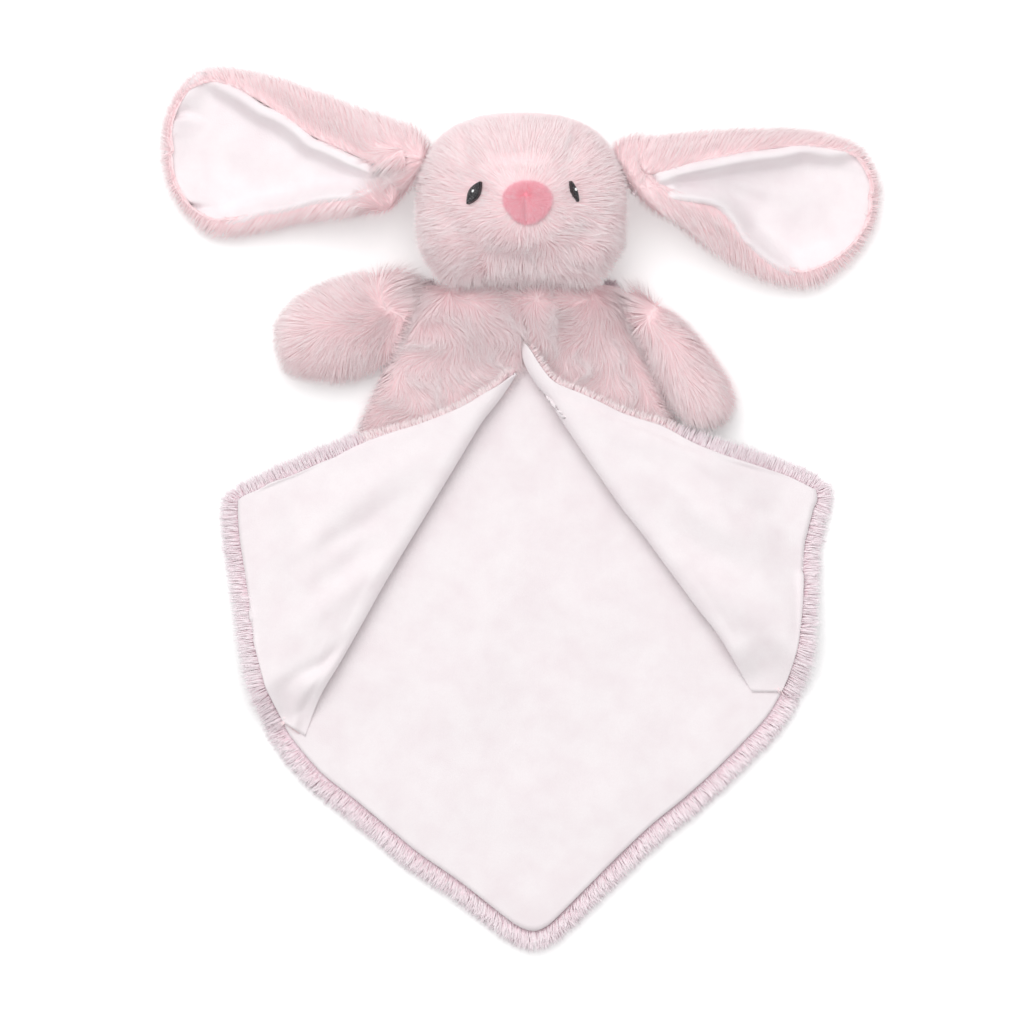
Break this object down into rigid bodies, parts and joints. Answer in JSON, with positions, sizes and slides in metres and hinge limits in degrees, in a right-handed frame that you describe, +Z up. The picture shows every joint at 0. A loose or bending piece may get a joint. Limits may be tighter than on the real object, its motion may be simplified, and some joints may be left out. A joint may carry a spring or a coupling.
{
  "type": "plush comforter",
  "caption": "Plush rabbit comforter lying on its back: a soft round head with long lined ears and stuffed arms, on a square comfort blanket folded round it as a cape with open flaps.",
  "frame": {"origin": "on the surface that the toy lies on, under the middle of its box", "axes": "+Y from the blanket's tip to the crown of the head, +Z up from the back to the face, +X to the toy's own left"},
  "size_m": [0.3714, 0.4566, 0.0903],
  "materials": {
    "plush": "long soft pile, pale pink",
    "velour": "short smooth velour, off-white with a trace of pink",
    "filling": "white polyester fibre",
    "nose_velour": "short velour, rose pink",
    "black_thread": "satin stitch embroidery, black",
    "white_thread": "satin stitch embroidery, white"
  },
  "bodies": {
    "blanket": {"blanket_back_plush": "plush", "blanket_face_velour": "velour", "torso_filling": "filling", "left_cape_lining": "velour", "left_cape_plush": "plush", "right_cape_lining": "velour", "right_cape_plush": "plush"},
    "head": {"head_gusset": "plush", "head_left_side": "plush", "head_right_side": "plush", "head_filling": "filling", "nose": "nose_velour", "left_eye": "black_thread", "right_eye": "black_thread", "left_eye_glint": "white_thread", "right_eye_glint": "white_thread"},
    "left_ear": {"left_ear_plush": "plush", "left_ear_lining": "velour"},
    "right_ear": {"right_ear_plush": "plush", "right_ear_lining": "velour"},
    "left_arm": {"left_arm_plush": "plush", "left_arm_filling": "filling"},
    "right_arm": {"right_arm_plush": "plush", "right_arm_filling": "filling"},
    "left_flap": {"left_flap_plush": "plush", "left_flap_velour": "velour"},
    "right_flap": {"right_flap_plush": "plush", "right_flap_velour": "velour"}
  },
  "joints": [
    {"name": "head_nod", "type": "hinge", "parent": "blanket", "child": "head", "pos_m": [0, 0.117, 0.0415], "axis": [1, 0, 0], "range_deg": [0, 40]},
    {"name": "left_ear_lift", "type": "hinge", "parent": "head", "child": "left_ear", "pos_m": [0.06277, 0.18025, 0.0365], "axis": [0.3027, -0.9531, 0], "range_deg": [0, 90]},
    {"name": "right_ear_lift", "type": "hinge", "parent": "head", "child": "right_ear", "pos_m": [-0.06277, 0.18025, 0.0365], "axis": [0.3027, 0.9531, 0], "range_deg": [0, 90]},
    {"name": "left_arm_lift", "type": "hinge", "parent": "blanket", "child": "left_arm", "pos_m": [0.05732, 0.09401, 0.0175], "axis": [0.3819, -0.9242, 0], "range_deg": [0, 60]},
    {"name": "right_arm_lift", "type": "hinge", "parent": "blanket", "child": "right_arm", "pos_m": [-0.05926, 0.09403, 0.0175], "axis": [0.4091, 0.9125, 0], "range_deg": [0, 60]},
    {"name": "left_flap_fold", "type": "hinge", "parent": "blanket", "child": "left_flap", "pos_m": [0.06416, -0.01464, 0.01405], "axis": [0.5702, -0.8215, 0], "range_deg": [0, 130]},
    {"name": "right_flap_fold", "type": "hinge", "parent": "blanket", "child": "right_flap", "pos_m": [-0.05983, -0.02812, 0.01405], "axis": [0.5039, 0.8638, 0], "range_deg": [0, 130]}
  ]
}
